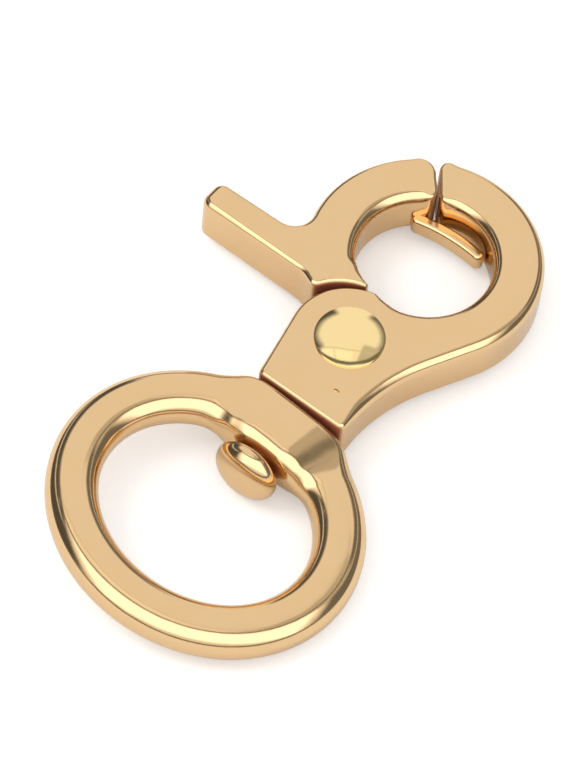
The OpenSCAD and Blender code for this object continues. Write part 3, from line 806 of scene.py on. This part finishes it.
def polish_marks_and_gap_shade():
    """Node group: polish grain, drag marks, waves, pits, cloudy gloss, and tarnish with painted shade in
    gaps.
    """
    group = bpy.data.node_groups.new("polish marks and gap shade", "ShaderNodeTree")
    for name, kind, value in (("Roughness", "NodeSocketFloat", 0.15),
                              ("Cloudiness", "NodeSocketFloat", 0.04),
                              ("Grain Scale", "NodeSocketFloat", 9000.0), ("Grain", "NodeSocketFloat", 0.1),
                              ("Waves", "NodeSocketFloat", 1.0), ("Pits", "NodeSocketFloat", 0.3),
                              ("Colour", "NodeSocketColor", (0.8, 0.6, 0.3, 1)),
                              ("Deep Colour", "NodeSocketColor", (0.6, 0.4, 0.2, 1)),
                              ("Gap Tarnish And Shade Colour", "NodeSocketColor", (0.3, 0.1, 0.03, 1))):
        group.interface.new_socket(name=name, in_out="INPUT", socket_type=kind).default_value = value
    for name, kind in (("Colour", "NodeSocketColor"), ("Roughness", "NodeSocketFloat"),
                       ("Metal", "NodeSocketFloat"), ("Height", "NodeSocketFloat")):
        group.interface.new_socket(name=name, in_out="OUTPUT", socket_type=kind)
    nodes, links = group.nodes, group.links
    given = nodes.new("NodeGroupInput")
    result = nodes.new("NodeGroupOutput")
    coordinates = nodes.new("ShaderNodeTexCoord")

    def noise(scale, detail, stretch=(1, 1, 1)):
        """Noise on Object coordinates, stretched along one way."""
        mapping = nodes.new("ShaderNodeMapping")
        mapping.inputs["Scale"].default_value = stretch
        mapping.inputs["Rotation"].default_value = DRAG_TURN
        texture = nodes.new("ShaderNodeTexNoise")
        texture.inputs["Detail"].default_value = detail
        links.new(coordinates.outputs["Object"], mapping.inputs["Vector"])
        links.new(mapping.outputs["Vector"], texture.inputs["Vector"])
        if isinstance(scale, (int, float)):
            texture.inputs["Scale"].default_value = scale
        else:
            links.new(scale, texture.inputs["Scale"])
        return texture.outputs["Fac"]

    def math_node(operation, first, second, third=None):
        """One arithmetic node. Each input is a socket or a number."""
        node = nodes.new("ShaderNodeMath")
        node.operation = operation
        for index, value in enumerate((first, second, third)):
            if value is None:
                continue
            if isinstance(value, (int, float)):
                node.inputs[index].default_value = value
            else:
                links.new(value, node.inputs[index])
        return node.outputs[0]

    grain = noise(given.outputs["Grain Scale"], 3.0)
    drag = noise(DRAG_SCALE, 4.0, DRAG_STRETCH)
    cloud = noise(CLOUD_SCALE, 3.0)
    cells = nodes.new("ShaderNodeTexVoronoi")
    cells.inputs["Scale"].default_value = PIT_SCALE
    links.new(coordinates.outputs["Object"], cells.inputs["Vector"])
    pit = nodes.new("ShaderNodeMapRange")
    pit.inputs["From Min"].default_value = PIT_FLOOR
    pit.inputs["From Max"].default_value = PIT_RIM
    pit.inputs["To Min"].default_value = 1.0
    pit.inputs["To Max"].default_value = 0.0
    links.new(cells.outputs["Distance"], pit.inputs["Value"])
    pits = math_node("MULTIPLY", pit.outputs["Result"], given.outputs["Pits"])
    swing = math_node("SUBTRACT", cloud, 0.5)
    gloss = math_node("MULTIPLY_ADD", swing, given.outputs["Cloudiness"], given.outputs["Roughness"])
    dull = math_node("MULTIPLY_ADD", pits, PIT_DULL, gloss)
    relief = math_node("MULTIPLY_ADD", drag, DRAG_SHARE, grain)
    pitted = math_node("MULTIPLY_ADD", pits, -PIT_DEPTH, relief)
    waves = math_node("MULTIPLY", noise(WAVE_SCALE, 1.0), given.outputs["Waves"])
    height = math_node("MULTIPLY_ADD", pitted, given.outputs["Grain"], waves)
    shade = nodes.new("ShaderNodeMix")
    shade.data_type = "RGBA"
    depth = math_node("MULTIPLY_ADD", cloud, CLOUD_SHADE, math_node("MULTIPLY", pits, PIT_SHADE))
    links.new(depth, shade.inputs["Factor"])
    links.new(given.outputs["Colour"], shade.inputs["A"])
    links.new(given.outputs["Deep Colour"], shade.inputs["B"])
    # Gaps get tarnish and painted shade: a dark brown colour, rougher and less metal
    gap = nodes.new("ShaderNodeAttribute")
    gap.attribute_name = "gap_tarnish_and_shade"
    darkened = nodes.new("ShaderNodeMix")
    darkened.data_type = "RGBA"
    links.new(gap.outputs["Fac"], darkened.inputs["Factor"])
    links.new(shade.outputs["Result"], darkened.inputs["A"])
    links.new(given.outputs["Gap Tarnish And Shade Colour"], darkened.inputs["B"])
    rough = math_node("MULTIPLY_ADD", gap.outputs["Fac"], GAP_DULL, dull)
    metallic = math_node("MULTIPLY_ADD", gap.outputs["Fac"], -GAP_METAL, 1.0)
    links.new(darkened.outputs["Result"], result.inputs["Colour"])
    links.new(rough, result.inputs["Roughness"])
    links.new(metallic, result.inputs["Metal"])
    links.new(height, result.inputs["Height"])
    return group


def metal(name, marks, colour, deep, roughness, cloudiness, grain_scale, grain, waves, pits):
    """Polished metal: one shader fed by the polish marks and the gaps' tarnish and painted shade, with a
    fine bump.
    """
    material = bpy.data.materials.new(name)
    material.use_nodes = True
    nodes, links = material.node_tree.nodes, material.node_tree.links
    shader = nodes["Principled BSDF"]
    group = nodes.new("ShaderNodeGroup")
    group.node_tree = marks
    # The gap colour is the tarnish and painted shade that the gap mask mixes in
    for key, value in (("Roughness", roughness), ("Cloudiness", cloudiness), ("Grain Scale", grain_scale),
                       ("Grain", grain), ("Waves", waves), ("Pits", pits), ("Colour", colour),
                       ("Deep Colour", deep), ("Gap Tarnish And Shade Colour", linear(150, 84, 54))):
        group.inputs[key].default_value = value
    bump = nodes.new("ShaderNodeBump")
    bump.inputs["Distance"].default_value = BUMP_DEPTH
    links.new(group.outputs["Colour"], shader.inputs["Base Color"])
    links.new(group.outputs["Roughness"], shader.inputs["Roughness"])
    links.new(group.outputs["Metal"], shader.inputs["Metallic"])
    links.new(group.outputs["Height"], bump.inputs["Height"])
    links.new(bump.outputs["Normal"], shader.inputs["Normal"])
    return material


def dress(piece, material, body, node):
    """Gives a piece its finish, the body it moves with and the frame's node that it stands for."""
    piece.data.materials.clear()
    piece.data.materials.append(material)
    finish_surface(piece)
    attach(piece, body)
    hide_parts(node)


def plain(name, points, faces, material):
    """Flat-shaded stage object from points in metres."""
    mesh = bpy.data.meshes.new(name)
    mesh.from_pydata(np.asarray(points, float).tolist(), [], faces)
    made = bpy.data.objects.new(name, mesh)
    made.data.materials.append(material)
    bpy.context.scene.collection.objects.link(made)
    return made


def floor_material():
    """White surface that shows the hook's shadow, topped up for the camera and for reflections."""
    material = bpy.data.materials.new("white table")
    material.use_nodes = True
    nodes, links = material.node_tree.nodes, material.node_tree.links
    nodes.clear()
    diffuse = nodes.new("ShaderNodeBsdfDiffuse")
    diffuse.inputs["Color"].default_value = (TABLE_WHITE, TABLE_WHITE, TABLE_WHITE, 1)
    glow = nodes.new("ShaderNodeEmission")
    path = nodes.new("ShaderNodeLightPath")
    mirrored = nodes.new("ShaderNodeMath")
    mirrored.operation = "MULTIPLY"
    mirrored.inputs[1].default_value = GLOW_MIRRORED
    share = nodes.new("ShaderNodeMath")
    share.operation = "MULTIPLY_ADD"
    share.inputs[1].default_value = GLOW_SEEN
    both = nodes.new("ShaderNodeAddShader")
    output = nodes.new("ShaderNodeOutputMaterial")
    links.new(path.outputs["Is Glossy Ray"], mirrored.inputs[0])
    links.new(path.outputs["Is Camera Ray"], share.inputs[0])
    links.new(mirrored.outputs[0], share.inputs[2])
    links.new(share.outputs[0], glow.inputs["Strength"])
    links.new(diffuse.outputs[0], both.inputs[0])
    links.new(glow.outputs[0], both.inputs[1])
    links.new(both.outputs[0], output.inputs["Surface"])
    return material


def card_material():
    """Glow whose brightness and cover are the card's own attributes, clear where nothing covers."""
    material = bpy.data.materials.new("card")
    material.use_nodes = True
    nodes, links = material.node_tree.nodes, material.node_tree.links
    nodes.clear()
    tone = nodes.new("ShaderNodeAttribute")
    tone.attribute_name = "tone"
    cover = nodes.new("ShaderNodeAttribute")
    cover.attribute_name = "cover"
    glow = nodes.new("ShaderNodeEmission")
    clear = nodes.new("ShaderNodeBsdfTransparent")
    mix = nodes.new("ShaderNodeMixShader")
    output = nodes.new("ShaderNodeOutputMaterial")
    links.new(tone.outputs["Color"], glow.inputs["Color"])
    links.new(cover.outputs["Fac"], mix.inputs["Fac"])
    links.new(clear.outputs[0], mix.inputs[1])
    links.new(glow.outputs[0], mix.inputs[2])
    links.new(mix.outputs[0], output.inputs["Surface"])
    return material


def card(name, material, directions, tone, fade, distance):
    """Soft-edged patch round the hook, seen only in reflections, from a grid of directions.

    Its cover is a smooth step in from each of its four sides.
    """
    rows, columns = directions.shape[:2]
    u, v = np.meshgrid(np.linspace(0, 1, columns), np.linspace(0, 1, rows))
    i, j = np.meshgrid(np.arange(rows - 1), np.arange(columns - 1), indexing="ij")
    k = i * columns + j
    quads = np.stack([k, k + 1, k + columns + 1, k + columns], -1).reshape(-1, 4).tolist()
    made = plain(name, distance * directions.reshape(-1, 3), quads, material)
    cover = np.ones(u.shape)
    for share, side in ((fade[0], np.minimum(u, 1 - u)), (fade[1], np.minimum(v, 1 - v))):
        if share:
            cover = cover * blend(side / share)
    made.data.attributes.new("cover", "FLOAT", "POINT").data.foreach_set("value", cover.ravel())
    colour = np.tile([*tone, 1.0], (u.size, 1))
    made.data.attributes.new("tone", "FLOAT_COLOR", "POINT").data.foreach_set("color", colour.ravel())
    made.visible_camera = False
    made.visible_diffuse = False
    made.visible_shadow = False
    made.visible_transmission = False


def make_cards():
    """Surroundings that the polished brass reflects, each a little nearer than the one before.

    A round or level card's direction at angle a and tilt t is cos t axis + sin t (cos a right +
    sin a up). A flat card's is axis + tan x right + tan y up, brought to length 1.
    """
    a, e = math.radians(VIEW_AZIMUTH), math.radians(VIEW_ELEVATION)
    right = np.array([-math.sin(a), math.cos(a), 0])
    up = np.array([-math.cos(a) * math.sin(e), -math.sin(a) * math.sin(e), -math.cos(e)])
    mirrored = np.array([-math.cos(a) * math.cos(e), -math.sin(a) * math.cos(e), math.sin(e)])
    material = card_material()
    columns, rows = CARD_GRID
    for index, (name, layout, first, second, tone, fade) in enumerate(CARDS):
        u, v = np.meshgrid(np.radians(np.linspace(*first, columns)), np.radians(np.linspace(*second, rows)))
        u, v = u[..., None], v[..., None]
        if layout == "flat":
            directions = mirrored + np.tan(u) * right + np.tan(v) * up
            directions /= np.linalg.norm(directions, axis=-1, keepdims=True)
        else:
            side, away, axis = (right, up, mirrored) if layout == "round" else np.eye(3)
            directions = np.cos(v) * axis + np.sin(v) * (np.cos(u) * side + np.sin(u) * away)
        card(name, material, directions, tone, fade, CARD_FAR - CARD_STEP * index)


def make_floor():
    """Round white table top."""
    turn = np.linspace(0, 2 * np.pi, TABLE_SIDES, endpoint=False)
    rim = np.column_stack([TABLE_R * np.cos(turn), TABLE_R * np.sin(turn), np.zeros(TABLE_SIDES)])
    plain("table", rim, [list(range(TABLE_SIDES))], floor_material())


def make_world():
    """Even white surroundings at strength 1."""
    world = bpy.data.worlds.new("white tent")
    world.use_nodes = True
    background = world.node_tree.nodes["Background"]
    background.inputs["Color"].default_value = (1, 1, 1, 1)
    background.inputs["Strength"].default_value = 1.0
    bpy.context.scene.world = world


def soft_box(name, toward, distance, size, power):
    """Square area lamp at a distance along a direction, facing the hook."""
    lamp = bpy.data.lights.new(name, "AREA")
    lamp.shape = "SQUARE"
    lamp.size = size
    lamp.energy = power
    made = bpy.data.objects.new(name, lamp)
    way = Vector(toward).normalized()
    made.location = way * distance
    made.rotation_mode = "QUATERNION"
    made.rotation_quaternion = way.to_track_quat("Z", "Y")
    made.visible_glossy = False
    bpy.context.scene.collection.objects.link(made)


def make_camera():
    """The photograph's camera, turned the shortest way to face the hook, with a longer lens."""
    tilt, heading = math.radians(PHOTO_TILT), math.radians(PHOTO_HEADING)
    s, c = math.sin(tilt), math.cos(tilt)
    axes = np.array([[1, 0, 0], [0, s, c], [0, -c, s]])
    along, aside = math.cos(heading), math.sin(heading)
    to_row = np.array([[along, aside, 0], [-aside, along, 0], [0, 0, 1]])
    at = to_row @ (axes[2] * PHOTO_DISTANCE - PHOTO_RIVET) / PHOTO_SCALE
    right, up, back = (Vector(to_row @ axis) for axis in axes)
    low, high = cad_box
    where = Vector(placed(at))
    aim = (low + high) / 2 - where
    turn = (-back).rotation_difference(aim.normalized())
    basis = Matrix((right, up, back)).transposed()
    data = bpy.data.cameras.new("camera")
    data.lens = data.sensor_width * PHOTO_DISTANCE * CLOSER / PHOTO_H
    data.clip_start = 0.01
    data.clip_end = 10.0
    camera = bpy.data.objects.new("camera", data)
    camera.rotation_mode = "QUATERNION"
    camera.rotation_quaternion = turn @ basis.to_quaternion()
    camera.location = where
    bpy.context.scene.collection.objects.link(camera)
    bpy.context.scene.camera = camera


marks = polish_marks_and_gap_shade()
cast_brass = metal("cast brass", marks, colour=linear(231, 196, 148), deep=linear(220, 178, 128),
                   roughness=0.12, cloudiness=0.04, grain_scale=9000.0, grain=0.09, waves=1.0, pits=0.35)
rivet_brass = metal("rivet brass", marks, colour=linear(251, 224, 164), deep=linear(242, 208, 138),
                    roughness=0.07, cloudiness=0.03, grain_scale=11000.0, grain=0.04, waves=1.3, pits=0.2)
spring_steel = metal("spring steel", marks, colour=linear(200, 202, 206), deep=linear(160, 162, 168),
                     roughness=0.3, cloudiness=0.08, grain_scale=7000.0, grain=0.15, waves=0.0, pits=0.2)

# Each piece's mask paints its gaps darker, as tarnish and painted shade
dress(paint_gap_tarnish_and_shade(make_body(), body_gaps), cast_brass, "hook", "hook_body")
dress(paint_gap_tarnish_and_shade(make_gate(), gate_gaps), cast_brass, "gate", "trigger_gate")
dress(paint_gap_tarnish_and_shade(make_rivet(), open_all_round), rivet_brass, "hook", "pivot_rivet")
dress(paint_gap_tarnish_and_shade(make_spring(), open_all_round), spring_steel, "hook", "gate_spring")
dress(paint_gap_tarnish_and_shade(make_stud(), stud_gaps), cast_brass, "hook", "swivel_stud")
dress(paint_gap_tarnish_and_shade(make_ring(), ring_gaps), cast_brass, "ring", "swivel_ring")

make_floor()
make_cards()
make_world()
soft_box("key box", toward=(-0.5, -0.35, 0.8), distance=0.7, size=0.3, power=1.2)
make_camera()
bpy.context.scene.view_settings.view_transform = "Standard"
